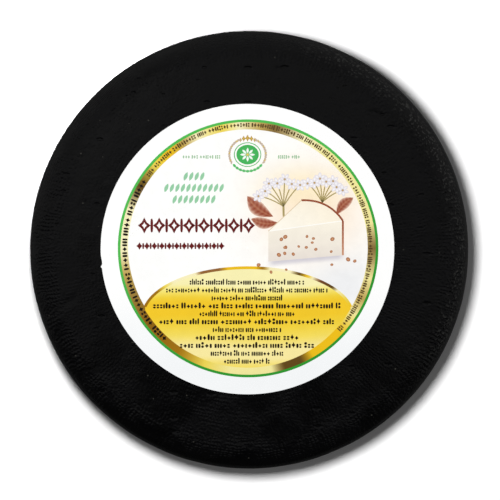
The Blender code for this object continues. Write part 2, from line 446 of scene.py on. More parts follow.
# Small pits in the top, pale grey specks at random places, and painted glints on the rim's right side
PIT_SPACING = 0.0065
PIT_REACH = 0.16
PIT_EDGE = (0.4, 1.0)
PIT_DEPTH = 0.00034
PIT_STRETCH = (0.50, 1.0, 1.0)
PIT_END = (0.0765, 0.0735)
# Pale grey specks at random places in the wax's colour: how far apart, how large, how many, and their grey
SPECK_SPACING = 0.0012
SPECK_REACH = 0.22
SPECK_SHARE = 0.007
SPECK_GREY = (0.026, 0.025, 0.021, 1.0)
# Painted glints on the right side of the rim: the grey that lightens the relief's crests there, the way
# towards that side, how far along it, the radii, the share left on the wheel's side, and how the crests are
# found
PAINTED_GLINT_GREY = (0.032, 0.032, 0.030, 1.0)
PAINTED_GLINT_WAY = math.radians(22)
PAINTED_GLINT_REACH = (0.030, 0.066)
PAINTED_GLINT_RADIUS = (0.0710, 0.0785)
PAINTED_GLINT_WALL_SHARE = 0.3
CREST_WEAVE = 0.6
CREST_GRAIN = 3.0
CREST_RISE = (0.0755, 0.0785, 0.0, 0.14)
CREST_RANGE = (0.16, 0.52)


def wax_material():
    """Satin black wax that shows the cloth at the edge and, where it was brushed thin, in patches on top.

    Its relief is the grain and the weave, each times a depth that grows in the rough patches, at the
    edge and on the side, less the pits. Its colour has painted glints: the crests of the relief on the
    right side of the rim are lightened grey. A thin clear layer gives the wheel's side a broad gleam.
    """
    material, tree, shader = new_material("black_wax")
    place = add_node(tree, "ShaderNodeTexCoord", {}).outputs["Object"]
    grain_height, patches = grained(tree, place, WAX_GRAIN)
    imprint = add_node(tree, "ShaderNodeGroup", {"Vector": place, **WAX_WEAVE}, node_tree=cloth_imprint)
    weave_height = imprint.outputs["Height"]

    radius = vector_calc(tree, "LENGTH", vector_calc(tree, "MULTIPLY", place, (1.0, 1.0, 0.0)))
    height = add_node(tree, "ShaderNodeSeparateXYZ", {0: place}).outputs["Z"]
    rough_patch = remap(tree, patches, *ROUGH_PATCHES)
    patch = remap(tree, far_along(tree, place, ROUGH_SIDE), *ROUGH_REACH)
    patch = calc(tree, "MULTIPLY", rough_patch, patch)
    edge = calc(tree, "MULTIPLY_ADD", rough_patch, *EDGE_PATCHES)
    edge = calc(tree, "MULTIPLY", remap(tree, radius, *EDGE_REACH), edge)
    side = remap(tree, height, *SIDE_REACH)
    grain_depth = calc(tree, "MULTIPLY_ADD", patch, ROUGH_GRAIN, SMOOTH_GRAIN)
    grain_depth = calc(tree, "MULTIPLY_ADD", edge, EDGE_GRAIN, grain_depth)
    imprint_depth = calc(tree, "MULTIPLY_ADD", patch, ROUGH_IMPRINT, SMOOTH_IMPRINT)
    imprint_depth = calc(tree, "MULTIPLY_ADD", edge, EDGE_IMPRINT, imprint_depth)
    imprint_depth = calc(tree, "MULTIPLY_ADD", side, SIDE_IMPRINT, imprint_depth)
    relief = calc(tree, "MULTIPLY", grain_height, grain_depth)
    relief = calc(tree, "MULTIPLY_ADD", weave_height, imprint_depth, relief)

    wide_place = vector_calc(tree, "MULTIPLY", place, PIT_STRETCH)
    away, draw = cells(tree, wide_place, PIT_SPACING, 0, "2D")
    size = calc(tree, "MULTIPLY", calc(tree, "MULTIPLY", draw, draw), PIT_REACH)
    in_pit = calc(tree, "SUBTRACT", 1.0, remap(tree, calc(tree, "DIVIDE", away, size), *PIT_EDGE))
    in_pit = calc(tree, "MULTIPLY", in_pit, remap(tree, radius, *PIT_END))
    relief = calc(tree, "MULTIPLY_ADD", in_pit, -PIT_DEPTH, relief)
    bump = add_node(tree, "ShaderNodeBump", {"Height": relief, "Distance": 1.0, "Strength": 1.0})

    colour = mix(tree, calc(tree, "MULTIPLY", patches, BLOOM_SHARE), WAX_BLACK, WAX_BLOOM)
    away, draw = cells(tree, place, SPECK_SPACING, 1)
    speck = calc(tree, "LESS_THAN", away, SPECK_REACH)
    speck = calc(tree, "MULTIPLY", speck, calc(tree, "LESS_THAN", draw, SPECK_SHARE))
    colour = mix(tree, speck, colour, SPECK_GREY)
    # Painted glints: the relief's crests on the right side of the rim are mixed towards a light grey
    painted_glint = remap(tree, far_along(tree, place, PAINTED_GLINT_WAY), *PAINTED_GLINT_REACH)
    painted_glint = calc(tree, "MULTIPLY", painted_glint, remap(tree, radius, *PAINTED_GLINT_RADIUS))
    painted_glint = calc(tree, "MULTIPLY", painted_glint, remap(tree, side, 0.0, 1.0, 1.0, PAINTED_GLINT_WALL_SHARE))
    crest = calc(tree, "MULTIPLY", weave_height, CREST_WEAVE)
    crest = calc(tree, "MULTIPLY_ADD", grain_height, CREST_GRAIN, crest)
    crest = calc(tree, "ADD", crest, remap(tree, radius, *CREST_RISE))
    painted_glint = calc(tree, "MULTIPLY", painted_glint, remap(tree, crest, *CREST_RANGE))
    roughness = remap(tree, patches, 0.0, 1.0, *WAX_ROUGHNESS)

    set_inputs(tree, shader, {
        "Base Color": mix(tree, painted_glint, colour, PAINTED_GLINT_GREY),
        "Roughness": calc(tree, "MULTIPLY_ADD", edge, EDGE_ROUGHNESS, roughness),
        "Normal": bump.outputs["Normal"],
        "Specular IOR Level": WAX_GLEAM,
        "Coat Weight": remap(tree, side, 0.0, 1.0, 0.0, SIDE_GLEAM),
        "Coat Roughness": SIDE_GLEAM_ROUGHNESS,
    })
    return material


skin = wheel_points()
skin_rows = skin.shape[0]
pole_points = np.array([[0.0, 0.0, wheel_top(0.0, 0.0)], [0.0, 0.0, 0.0]])
top_pole = np.full(WHEEL_TURNS, skin_rows * WHEEL_TURNS)
here = np.arange(WHEEL_TURNS)
after = (here + 1) % WHEEL_TURNS
last_row = (skin_rows - 1) * WHEEL_TURNS
top_fan = np.stack((top_pole, here, after), axis=-1)
base_fan = np.stack((top_pole + 1, last_row + after, last_row + here), axis=-1)
wheel = make_piece(
    "cheese_wheel_coated",
    np.concatenate((skin.reshape(-1, 3), pole_points)),
    grid_faces(skin_rows, WHEEL_TURNS, True).tolist() + top_fan.tolist() + base_fan.tolist(),
    wax_material(),
)
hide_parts("cheese_wheel")
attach(wheel, "root")


# The label is a disc of coated white paper, cut a little wider than it is tall and glued flat to the wax.
# Its left edge is nicked, with a small torn tag beside the nick.
LABEL_HALF_SIZE = (0.05315, 0.05257)
LABEL_CENTRE = (-0.00067, 0.00017)
PAPER_THICKNESS = 0.00014
GLUE_THICKNESS = 0.00006
# The nick and the tag, as (turn and half width in degrees, how far the edge stands out)
NICK = (185.2, 2.0, -0.00030)
TORN_TAG = (186.9, 0.45, 0.00055)
TORN_FADE_POWER = 40
LABEL_TURNS = 720
LABEL_RINGS = 14
LABEL_HOLE = 0.0004
PAPER_GRAIN = {"Grain Scale": 2600.0, "Patch Scale": 90.0}
PAPER_GRAIN_DEPTH = 0.000006
PAPER_WHITE = (0.80, 0.80, 0.795)
PAPER_MOTTLING = 0.985
# A painted shade over the lower part of the paper: its cool dim colour, and the heights where it starts and
# where it is full
PAPER_PAINTED_SHADE = (0.902, 0.919, 0.935, 1.0)
PAPER_PAINTED_SHADE_REACH = (-0.008, -0.044)
PAPER_ROUGHNESS = (0.42, 0.52)
PAPER_SHEEN = 0.4


def label_top(x, y):
    """Height of the label's printed face: the wax under it plus the glue and the paper."""
    return wheel_top(x, y) + GLUE_THICKNESS + PAPER_THICKNESS


def bell(angle, middle, half_width):
    """A bell curve of the angle round a circle, both in degrees."""
    away = (angle - middle + 180.0) % 360.0 - 180.0
    return np.exp(-((away / half_width) ** 2))


def around(middle, half_size, turn):
    """Places round an ellipse: its middle plus half its size times the turn's cosine and sine."""
    return middle[0] + half_size[0] * np.cos(turn), middle[1] + half_size[1] * np.sin(turn)


def sheet_shell(x, y, lift, thickness, wrap):
    """A closed thin shell on the label: a grid, the same grid below it, and walls round its edges."""
    rows, columns = x.shape
    upper = np.stack((x, y, label_top(x, y) + lift), axis=-1).reshape(-1, 3)
    lower = upper - np.array([0.0, 0.0, thickness])
    count = rows * columns
    top = grid_faces(rows, columns, wrap)
    faces = [top, top[:, ::-1] + count]
    index = np.arange(count).reshape(rows, columns)
    borders = [index[0], index[-1][::-1]]
    if wrap:
        borders = [np.append(border, border[0]) for border in borders]
    else:
        borders += [index[::-1, 0], index[:, -1]]
    for border in borders:
        faces.append(np.stack((border[1:], border[:-1], border[:-1] + count, border[1:] + count), axis=-1))
    return np.concatenate((upper, lower)), np.concatenate(faces)


def smooth_paper(name, scales, depth, roughness):
    """Coated paper without its colour: a fine grain, a roughness by its patches, and a low sheen."""
    material, tree, shader = new_material(name)
    place = add_node(tree, "ShaderNodeTexCoord", {}).outputs["Object"]
    grain_height, patches = grained(tree, place, scales)
    bump = add_node(tree, "ShaderNodeBump", {"Height": grain_height, "Distance": depth})
    set_inputs(tree, shader, {
        "Roughness": remap(tree, patches, 0.0, 1.0, *roughness),
        "Normal": bump.outputs["Normal"],
        "Specular IOR Level": PAPER_SHEEN,
    })
    return material, tree, shader, place, patches


def paper_material():
    """White paper: its white is mixed with a mottled one by the patches, under a cool painted shade lower
    down.
    """
    settings = (PAPER_GRAIN, PAPER_GRAIN_DEPTH, PAPER_ROUGHNESS)
    material, tree, shader, place, patches = smooth_paper("label_paper", *settings)
    mottled = [PAPER_MOTTLING * channel for channel in PAPER_WHITE]
    colour = mix(tree, patches, (*PAPER_WHITE, 1.0), (*mottled, 1.0))
    height = add_node(tree, "ShaderNodeSeparateXYZ", {0: place}).outputs["Y"]
    # Painted shade: the paper's colour is multiplied towards a cool grey lower down
    colour = mix(tree, remap(tree, height, *PAPER_PAINTED_SHADE_REACH), colour, PAPER_PAINTED_SHADE, "MULTIPLY")
    set_inputs(tree, shader, {"Base Color": colour})
    return material


turn = np.linspace(0.0, 360.0, LABEL_TURNS, endpoint=False)[None, :]
edge_shift = NICK[2] * bell(turn, *NICK[:2]) + TORN_TAG[2] * bell(turn, *TORN_TAG[:2])
# The rings take equal shares of the area, from a small hole outwards
share = np.sqrt(np.linspace(LABEL_HOLE, 1.0, LABEL_RINGS))[:, None]
reach = [share * (half_size + edge_shift * share ** TORN_FADE_POWER) for half_size in LABEL_HALF_SIZE]
label_grid = around(LABEL_CENTRE, reach, np.radians(turn))
label_points, label_faces = sheet_shell(*label_grid, 0.0, PAPER_THICKNESS, True)
# The shell's wall round the small hole in its middle gives way to two faces that close it
wall_start = 2 * (LABEL_RINGS - 1) * LABEL_TURNS
label_faces = np.delete(label_faces, slice(wall_start, wall_start + LABEL_TURNS), axis=0).tolist()
hole = np.arange(LABEL_TURNS)
label_faces += [hole.tolist(), (hole[::-1] + LABEL_RINGS * LABEL_TURNS).tolist()]
label = make_piece("label_paper", label_points, label_faces, paper_material())
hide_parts("label")
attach(label, "root")


# Everything printed on the label is a thin layer of ink on the paper, so each field is a very thin shell
# that lies on it. Places are measured from the middle of the print, which sits a little off the paper's.
PRINT_CENTRE = (-0.00062, 0.00065)
RING_CENTRE = (0.00019, -0.00020)
RING_HALF_SIZE = (0.04670, 0.04623)
RING_WIDTH = 0.00095
BAND_INNER_HALF_SIZE = (0.04350, 0.04285)
GROUND_REACH = 0.04340
INK_THICKNESS = 0.00004
GROUND_LIFT = 0.00002
FIELD_LIFT = 0.00004
BAND_LIFT = 0.000035
MARK_LIFT = 0.00006
TOP_MARK_LIFT = 0.00008
PRINT_TURNS = 480
INK_GRAIN = {"Grain Scale": 2600.0, "Patch Scale": 260.0}
INK_GRAIN_DEPTH = 0.000004
INK_MOTTLING = (0.97, 0.97, 0.97, 1.0)
INK_ROUGHNESS = (0.38, 0.46)


def paint(piece, ink):
    """Writes one colour for each point into the piece's ink attribute, from standard screen values."""
    ink = np.asarray(ink, float) / 255.0
    linear = np.where(ink <= 0.04045, ink / 12.92, ((ink + 0.055) / 1.055) ** 2.4)
    rgba = np.concatenate((linear * PAPER_WHITE, np.ones((len(linear), 1))), axis=1)
    layer = piece.data.color_attributes.new("ink", "FLOAT_COLOR", "POINT")
    layer.data.foreach_set("color", rgba.ravel())


def ink_material():
    """Printing ink on the paper: the colour in the ink attribute, times a faint mottling by the patches."""
    settings = (INK_GRAIN, INK_GRAIN_DEPTH, INK_ROUGHNESS)
    material, tree, shader, _, patches = smooth_paper("printed_ink", *settings)
    ink = add_node(tree, "ShaderNodeAttribute", {}, attribute_name="ink").outputs["Color"]
    set_inputs(tree, shader, {"Base Color": mix(tree, patches, ink, INK_MOTTLING, "MULTIPLY")})
    return material


printed_ink = ink_material()


def print_field(name, patches, lift, wrap=False):
    """A printed field of patches, each the two grids of its places on the label and its colours."""
    all_points, all_faces, all_ink, count = [], [], [], 0
    for x, y, ink in patches:
        points, faces = sheet_shell(x + PRINT_CENTRE[0], y + PRINT_CENTRE[1], lift, INK_THICKNESS, wrap)
        ink = np.broadcast_to(ink, (*x.shape, 3)).reshape(-1, 3)
        all_points.append(points)
        all_faces.append(faces + count)
        all_ink += [ink, ink]
        count += len(points)
    field = make_piece(name, np.concatenate(all_points), np.concatenate(all_faces), printed_ink)
    paint(field, np.concatenate(all_ink))
    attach(field, "root")


def tone_along(places, stops, tones):
    """The colour at each place, mixed straight between the named tones of the stops on either side."""
    at = [place for place, _ in stops]
    colours = np.array([tones[name] for _, name in stops], float)
    return np.stack([np.interp(places, at, colours[:, channel]) for channel in range(3)], axis=-1)


# The white ground of the print is tinted where the picture stands: a warm glow behind it, and a cool shade
# at the lower right.
WHITE = (255, 255, 254)
# Each tint, as (x, y, half width, half height, colour, strength)
GROUND_TINTS = (
    (0.0235, 0.0130, 0.0210, 0.0180, (254, 231, 206), 0.90),
    (0.0200, 0.0215, 0.0150, 0.0080, (252, 234, 184), 0.55),
    (0.0345, -0.0125, 0.0130, 0.0110, (228, 230, 235), 0.60),
)
TINT_FALL = 1.2
GROUND_HOLE = 0.0003
GROUND_RINGS = 48


def ground_ink(x, y):
    """White mixed with each tint by a bell curve of the distance from its middle."""
    ink = np.broadcast_to(np.array(WHITE, float), (*x.shape, 3))
    for tint_x, tint_y, half_width, half_height, colour, strength in GROUND_TINTS:
        away = ((x - tint_x) / half_width) ** 2 + ((y - tint_y) / half_height) ** 2
        weight = (strength * np.exp(-away * TINT_FALL))[..., None]
        ink = ink * (1.0 - weight) + np.array(colour, float) * weight
    return ink


turn = np.linspace(0.0, 2.0 * math.pi, PRINT_TURNS, endpoint=False)[None, :]
reach = np.linspace(GROUND_HOLE, GROUND_REACH, GROUND_RINGS)[:, None]
ground = around((0.0, 0.0), (reach, reach), turn)
print_field("label_print_ground", [(*ground, ground_ink(*ground))], GROUND_LIFT, True)


# A thin green ring closes the print, and a gold band lies just inside it, shaded like foil by a
# gradient that runs round it.
GREENS = {"leaf": (80, 186, 80), "deep leaf": (46, 148, 46)}
GREEN_STOPS = ((0, "deep leaf"), (50, "leaf"), (185, "leaf"), (250, "deep leaf"), (360, "deep leaf"))
GOLDS = {
    "cream": (247, 239, 190),
    "pale gold": (241, 231, 156),
    "yellow gold": (236, 212, 84),
    "deep gold": (236, 190, 22),
    "ochre": (160, 112, 12),
    "tan": (190, 162, 88),
    "brass": (150, 120, 54),
    "umber": (130, 104, 56),
    "dark ochre": (136, 94, 16),
    "bronze": (96, 70, 24),
}
BAND_STOPS = (
    (0, "umber"), (12, "pale gold"), (50, "pale gold"), (64, "cream"), (77, "umber"), (84, "tan"),
    (94, "cream"), (102, "yellow gold"), (114, "cream"), (121, "tan"), (129, "deep gold"),
    (138, "yellow gold"), (150, "bronze"), (162, "cream"), (182, "cream"), (192, "tan"), (204, "brass"),
    (217, "dark ochre"), (236, "ochre"), (250, "yellow gold"), (262, "pale gold"), (281, "pale gold"),
    (287, "bronze"), (295, "bronze"), (301, "deep gold"), (317, "deep gold"), (328, "pale gold"),
    (336, "tan"), (346, "pale gold"), (360, "umber"),
)
# Where the band is wider, in degrees, and by how much
WIDER_PART = (240.0, 60.0)
WIDER_BY = 0.0006
RING_LINES = 4
BAND_LINES = 6

degrees = np.degrees(turn)
across = RING_WIDTH * np.linspace(-0.5, 0.5, RING_LINES)[:, None]
ring = around(RING_CENTRE, [half_size + across for half_size in RING_HALF_SIZE], turn)
ring_ink = tone_along(degrees + 0.0 * across, GREEN_STOPS, GREENS)
print_field("label_green_ring", [(*ring, ring_ink)], FIELD_LIFT, True)

share = np.linspace(0.0, 1.0, BAND_LINES)[:, None]
wider = WIDER_BY * bell(degrees, *WIDER_PART)
inner = around((0.0, 0.0), [half_size - wider for half_size in BAND_INNER_HALF_SIZE], turn)
outer = around(RING_CENTRE, RING_HALF_SIZE, turn)
band = [near + (far - near) * share for near, far in zip(inner, outer)]
band_ink = tone_along(degrees + 0.0 * share, BAND_STOPS, GOLDS)
print_field("label_gold_band", [(*band, band_ink)], BAND_LIFT, True)


# The lower third of the print is a gold panel under a flat arch, shaded pale, deep and pale again from
# top to bottom. A foil line runs along its arch.
PANEL_CENTRE = (0.00014, -0.02493)
PANEL_HALF_SIZE = (0.03804, 0.01772)
PANEL_END = 0.03724
PANEL_COLUMNS = 161
PANEL_ROWS = 60
PANEL_LEAST = 0.0001
# The panel's shading bends by a slow wave across it, as (height, length, phase), and a slight slope
SHEEN_WAVE = (0.0009, 0.011, 0.6)
SHEEN_SLOPE = -0.02
PANEL_TONES = {
    "pale": (249, 241, 180),
    "straw": (247, 229, 116),
    "deep": (242, 200, 40),
    "warm": (241, 209, 60),
    "soft": (244, 220, 94),
    "cream": (248, 233, 160),
}
PANEL_STOPS = (
    (-0.0430, "soft"), (-0.0395, "cream"), (-0.0362, "cream"), (-0.0320, "soft"), (-0.0280, "warm"),
    (-0.0245, "deep"), (-0.0200, "deep"), (-0.0182, "warm"), (-0.0160, "straw"), (-0.0136, "pale"),
    (-0.0070, "pale"),
)
LINE_WIDTH = 0.00105
LINE_ENDS = (11.5, 168.5)
LINE_STEPS = 300
LINE_TONES = {**GOLDS, "brown": (112, 64, 32), "light brown": (146, 98, 50), "pale": (247, 238, 190)}
LINE_STOPS = (
    (10, "deep gold"), (22, "yellow gold"), (32, "pale"), (37, "bronze"), (46, "brown"), (52, "pale"),
    (56, "deep gold"), (61, "bronze"), (66, "pale"), (78, "pale"), (82, "ochre"), (86, "deep gold"),
    (101, "deep gold"), (106, "light brown"), (116, "light brown"), (120, "pale"), (135, "pale"),
    (142, "yellow gold"), (150, "ochre"), (170, "ochre"),
)

panel_x = PANEL_CENTRE[0] + PANEL_END * np.sin(np.linspace(-0.5, 0.5, PANEL_COLUMNS) * math.pi)[None, :]
across = np.clip((panel_x - PANEL_CENTRE[0]) / PANEL_HALF_SIZE[0], -1.0, 1.0)
arch = PANEL_CENTRE[1] + PANEL_HALF_SIZE[1] * np.sqrt(1.0 - across ** 2)
foot = np.minimum(-np.sqrt(GROUND_REACH ** 2 - panel_x ** 2), arch - PANEL_LEAST)
share = np.linspace(0.0, 1.0, PANEL_ROWS)[:, None]
panel_y = arch + (foot - arch) * share
sheen = SHEEN_WAVE[0] * np.sin(panel_x / SHEEN_WAVE[1] + SHEEN_WAVE[2]) + SHEEN_SLOPE * panel_x
panel_ink = tone_along(panel_y + sheen, PANEL_STOPS, PANEL_TONES)
print_field("label_gold_panel", [(panel_x + 0.0 * share, panel_y, panel_ink)], FIELD_LIFT)

line_turn = np.radians(np.linspace(*LINE_ENDS, LINE_STEPS))[None, :]
across = LINE_WIDTH * np.linspace(-0.5, 0.5, 5)[:, None]
line = around(PANEL_CENTRE, [half_size + across for half_size in PANEL_HALF_SIZE], line_turn)
line_ink = tone_along(np.degrees(line_turn) + 0.0 * across, LINE_STOPS, LINE_TONES)
print_field("label_panel_line", [(*line, line_ink)], MARK_LIFT)


# Small print stands in rows on the panel and round the band, as plain marks in groups.
# They are stamped from bars, lozenges and pairs of beads at seeded widths, larger in the heavy rows.
PANEL_INK = (27, 18, 9)
BOLD_INK = (24, 16, 8)
FINE_INK = (84, 64, 30)
ROW_TOP = -0.01262
ROW_PITCH = 0.002862
ROW_MIDDLE = -0.00025
ROW_WIDTHS = (0.0414, 0.0580, 0.0253, 0.0671, 0.0339, 0.0632, 0.0243, 0.0374, 0.0482, 0.0257, 0.0160)
HEAVY_ROWS = (3, 5, 7, 8)
MARK_HEIGHT = 0.00156
LIGHT_STROKE = 0.00040
HEAVY_STROKE = 0.00056
# Each run of marks round the band, as (name, first place, turn in degrees clockwise, stroke, height, ink)
BAND_RUNS = (
    ("bold", 228.0, 81.0, 0.00060, 0.00184, BOLD_INK),
    ("fine", 144.0, 186.0, 0.00040, 0.00152, FINE_INK),
)
BAND_MIDDLE = 0.04450
MARK_SEED = 5
MARK_GAP = 0.42
WORD_GAP = 1.3
FIRST_WORD = (3, 10)
NEXT_WORD = (3, 11)
TALL_SHARE = 0.16
TALL_IN_ROWS = 1.4
TALL_IN_BAND = 1.25
MARK_KINDS = ("bar", "lozenge", "beads")
KIND_SHARES = (0.50, 0.28, 0.22)
KIND_WIDTHS = {"bar": (1.1, 1.5), "lozenge": (2.3, 2.9), "beads": (1.5, 2.0)}
BEAD_HEIGHT = 0.46
BAR_CORNER = 0.30
OVERLAP_STEP = 0.0000012
OVERLAP_CYCLE = 13


def rounded_bar(corner_points=3):
    """A bar one unit wide and high with round corners, as points anticlockwise round it."""
    quarter = np.radians(np.linspace(0.0, 90.0, corner_points))
    corner = np.stack((np.cos(quarter), np.sin(quarter)), axis=-1) * BAR_CORNER + 0.5 - BAR_CORNER
    turns = [np.array([[0, 1], [-1, 0]]), np.array([[-1, 0], [0, -1]]), np.array([[0, -1], [1, 0]])]
    return np.concatenate([corner] + [corner @ quarter_turn for quarter_turn in turns])


def oval(count=12):
    """An oval one unit wide and high, as points anticlockwise round it."""
    angle = np.linspace(0.0, 2.0 * math.pi, count, endpoint=False)
    return np.stack(around((0.0, 0.0), (0.5, 0.5), angle), axis=-1)


def lozenge():
    """A lozenge one unit wide and high with slightly hollow sides, as points anticlockwise round it."""
    upper = np.array([(0.5, 0.0), (0.2, 0.2), (0.0, 0.5), (-0.2, 0.2)])
    return np.concatenate((upper, -upper))


def leaf_shape(count=6):
    """A pointed leaf one unit long and high, from two bowed sides that meet at its tips."""
    way = np.linspace(-1.0, 1.0, count + 1)
    bow = 0.5 * (1.0 - way ** 2)
    upper = np.stack((0.5 * way[::-1], bow[::-1]), axis=-1)[:-1]
    lower = np.stack((0.5 * way, -bow), axis=-1)[:-1]
    return np.concatenate((upper, lower))


def stamp(name, outline, at, angle, size, lift, ink, edge_ink=None):
    """Copies of a flat outline as thin closed shells: scaled, then turned, then moved to each place.

    Each copy lies a hair above the one before, so that copies that overlap keep apart.
    """
    at, size = np.asarray(at, float).reshape(-1, 2), np.asarray(size, float)
    count, corners = len(at), len(outline)
    angle = np.broadcast_to(np.asarray(angle, float), count)
    scaled = outline[None] * np.broadcast_to(size, (count, 2))[:, None, :]
    x, y = turned(scaled[..., 0], scaled[..., 1], angle[:, None])
    middle = at + PRINT_CENTRE
    x = np.concatenate((x + middle[:, :1], middle[:, :1]), axis=1)
    y = np.concatenate((y + middle[:, 1:], middle[:, 1:]), axis=1)
    step = OVERLAP_STEP * (np.arange(count) % OVERLAP_CYCLE)[:, None]
    upper = np.stack((x, y, label_top(x, y) + lift + step), axis=-1)
    lower = upper[:, :corners] - np.array([0.0, 0.0, INK_THICKNESS])
    points = np.concatenate((upper, lower), axis=1).reshape(-1, 3)
    first = (np.arange(count) * (2 * corners + 1))[:, None]
    here, after = np.arange(corners)[None, :], (np.arange(corners)[None, :] + 1) % corners
    fans = np.stack((first + corners + 0 * here, first + here, first + after), axis=-1).reshape(-1, 3)
    below = corners + 1
    walls = np.stack((first + after, first + here, first + here + below, first + after + below), axis=-1)
    floors = (first + below + here)[:, ::-1]
    faces = fans.tolist() + walls.reshape(-1, 4).tolist() + floors.tolist()
    piece = make_piece(name, points, faces, printed_ink, smooth=False)
    colours = np.empty((count, 2 * corners + 1, 3))
    colours[:] = ink if edge_ink is None else edge_ink
    colours[:, corners] = ink
    paint(piece, colours.reshape(-1, 3))
    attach(piece, "root")


def word_marks(draw, width, stroke):
    """Marks along a row in seeded groups, as their middles, widths and kinds."""
    middles, widths, kinds, at, left = [], [], [], 0.0, draw.integers(*FIRST_WORD)
    while at < width:
        kind = draw.choice(len(MARK_KINDS), p=KIND_SHARES)
        mark = stroke * draw.uniform(*KIND_WIDTHS[MARK_KINDS[kind]])
        middles.append(at + 0.5 * mark)
        widths.append(mark)
        kinds.append(kind)
        left -= 1
        at += mark + MARK_GAP * stroke
        if left == 0:
            at += WORD_GAP * stroke
            left = draw.integers(*NEXT_WORD)
    middles = np.array(middles)
    return middles - 0.5 * (middles[-1] + middles[0]), np.array(widths), np.array(kinds)


def mark_heights(draw, count, height, tall):
    """The height of each mark, where a seeded few are this many times as tall as the rest."""
    return height * np.where(draw.random(count) < TALL_SHARE, tall, 1.0)


def stamp_marks(name, places, angle, sizes, kinds, ink):
    """Stamps each kind of mark along its rows: whole bars and lozenges, and beads one above another."""
    angle = np.broadcast_to(angle, len(places))
    for kind, outline in enumerate((rounded_bar(), lozenge(), oval(8))):
        chosen = kinds == kind
        at, mark_turn, size = places[chosen], angle[chosen], sizes[chosen]
        if MARK_KINDS[kind] == "beads":
            rise = 0.5 * (1.0 - BEAD_HEIGHT) * size[:, 1]
            rise = np.stack(turned(0.0 * rise, rise, mark_turn), axis=-1)
            at, mark_turn = np.concatenate((at + rise, at - rise)), np.tile(mark_turn, 2)
            size = np.tile(size * (1.0, BEAD_HEIGHT), (2, 1))
        stamp("%s_%s" % (name, MARK_KINDS[kind]), outline, at, mark_turn, size, MARK_LIFT, ink)


draw = np.random.default_rng(MARK_SEED)
places, sizes, kinds = [], [], []
for row, width in enumerate(ROW_WIDTHS):
    stroke = HEAVY_STROKE if row in HEAVY_ROWS else LIGHT_STROKE
    middles, widths, row_kinds = word_marks(draw, width, stroke)
    height = mark_heights(draw, len(middles), MARK_HEIGHT, TALL_IN_ROWS)
    y = ROW_TOP - ROW_PITCH * row + 0.5 * (height - MARK_HEIGHT)
    places.append(np.stack((ROW_MIDDLE + middles, y), axis=-1))
    sizes.append(np.stack((widths, height), axis=-1))
    kinds.append(row_kinds)
places, sizes, kinds = np.concatenate(places), np.concatenate(sizes), np.concatenate(kinds)
stamp_marks("label_panel", places, 0.0, sizes, kinds, PANEL_INK)

for run, first, run_turn, stroke, height, ink in BAND_RUNS:
    middles, widths, kinds = word_marks(draw, math.radians(run_turn) * BAND_MIDDLE, stroke)
    angle = math.radians(first - 0.5 * run_turn) - middles / BAND_MIDDLE
    sizes = np.stack((widths, mark_heights(draw, len(middles), height, TALL_IN_BAND)), axis=-1)
    places = np.stack(around((0.0, 0.0), (BAND_MIDDLE, BAND_MIDDLE), angle), axis=-1)
    stamp_marks("label_band_" + run, places, angle - math.pi / 2, sizes, kinds, ink)


# Left of the picture stand two maroon ornament rows, one large and one small, and above them three rows of
# pale green leaves. They are printed flat like the rest.
MAROON = (101, 28, 28)
PALE_GREEN = (150, 205, 165)
GREY_GREEN = (158, 196, 158)
TITLE_MIDDLE = (-0.01850, 0.00808)
TITLE_PITCH = 0.00540
TITLE_COUNT = 8
TITLE_DOT_AWAY = 0.00130
UNDER_TITLE_MIDDLE = (-0.02430, 0.00065)
UNDER_TITLE_PITCH = 0.00270
UNDER_TITLE_COUNT = 12
LEAF_ROWS = ((0.02587, 4), (0.02170, 11), (0.01754, 8))
LEAF_ROW_MIDDLE = -0.01940
LEAF_PITCH = 0.00200
LEAF_TURN = math.radians(68)
LEAF_SIZE = (0.0034, 0.00135)
# The two short rows beside the medallion, as (side, middle, width)
SIDE_ROWS = (("left", -0.01667, 0.01350), ("right", 0.01490, 0.00790))
SIDE_ROW_HEIGHT = 0.03290
SIDE_STROKE = 0.00034
SIDE_MARK_HEIGHT = 0.00135


def along_row(middle, pitch, count):
    """Places at even steps along a level row about its middle."""
    x = middle[0] + pitch * (np.arange(count) - 0.5 * (count - 1))
    return np.stack((x, np.full(count, middle[1])), axis=-1)


big = along_row(TITLE_MIDDLE, TITLE_PITCH, TITLE_COUNT)
big_gaps = along_row(TITLE_MIDDLE, TITLE_PITCH, TITLE_COUNT - 1)
small = along_row(UNDER_TITLE_MIDDLE, UNDER_TITLE_PITCH, UNDER_TITLE_COUNT)
small_gaps = along_row(UNDER_TITLE_MIDDLE, UNDER_TITLE_PITCH, UNDER_TITLE_COUNT - 1)
for part, outline, at, size, lift, ink in (
    ("title_lozenges", lozenge(), big, (0.0046, 0.0058), MARK_LIFT, MAROON),
    ("title_hearts", lozenge(), big, (0.0018, 0.0024), TOP_MARK_LIFT, WHITE),
    ("title_bars", rounded_bar(), big_gaps, (0.00095, 0.0050), MARK_LIFT, MAROON),
    ("title_dots_left", oval(), big_gaps - (TITLE_DOT_AWAY, 0.0), (0.0008, 0.0008), MARK_LIFT, MAROON),
    ("title_dots_right", oval(), big_gaps + (TITLE_DOT_AWAY, 0.0), (0.0008, 0.0008), MARK_LIFT, MAROON),
    ("under_title_lozenges", lozenge(), small, (0.0023, 0.0028), MARK_LIFT, MAROON),
    ("under_title_bars", rounded_bar(), small_gaps, (0.00062, 0.0022), MARK_LIFT, MAROON),
):
    stamp("label_" + part, outline, at, 0.0, size, lift, ink)

leaves = np.concatenate([along_row((LEAF_ROW_MIDDLE, y), LEAF_PITCH, count) for y, count in LEAF_ROWS])
stamp("label_green_leaves", leaf_shape(), leaves, LEAF_TURN, LEAF_SIZE, MARK_LIFT, PALE_GREEN)
for side, middle, width in SIDE_ROWS:
    middles, widths, kinds = word_marks(draw, width, SIDE_STROKE)
    places = np.stack((middle + middles, np.full(len(middles), SIDE_ROW_HEIGHT)), axis=-1)
    sizes = np.stack((widths, np.full(len(middles), SIDE_MARK_HEIGHT)), axis=-1)
    stamp_marks("label_side_row_" + side, places, 0.0, sizes, kinds, GREY_GREEN)


